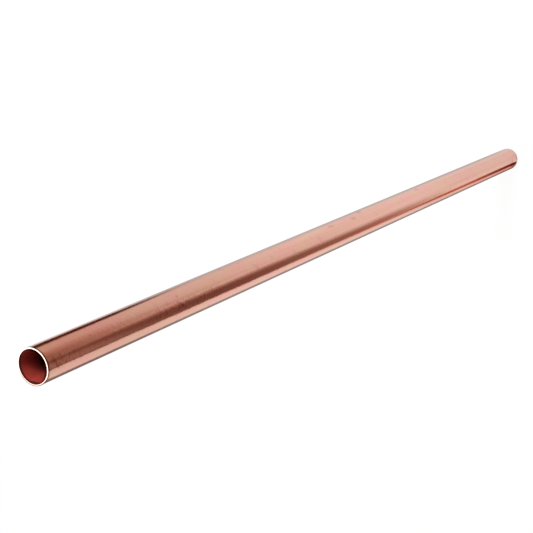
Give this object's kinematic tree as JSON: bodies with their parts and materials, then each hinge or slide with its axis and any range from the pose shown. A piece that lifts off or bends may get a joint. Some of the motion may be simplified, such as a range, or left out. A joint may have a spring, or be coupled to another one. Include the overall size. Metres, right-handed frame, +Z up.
{
  "type": "copper tube",
  "caption": "Straight round copper plumbing tube with a thin drawn wall, open through its length and cut square at both ends; carries water or gas between socket fittings.",
  "frame": {"origin": "on the floor, in the middle of the lower cut end that the tube stands on", "axes": "+Z up along the tube's axis; X and Y are alike, because the tube is round"},
  "size_m": [0.015, 0.015, 0.5],
  "materials": {
    "copper": "bright drawn copper, faintly streaked along its length"
  },
  "bodies": {
    "root": {"copper_tube": "copper"}
  },
  "joints": []
}
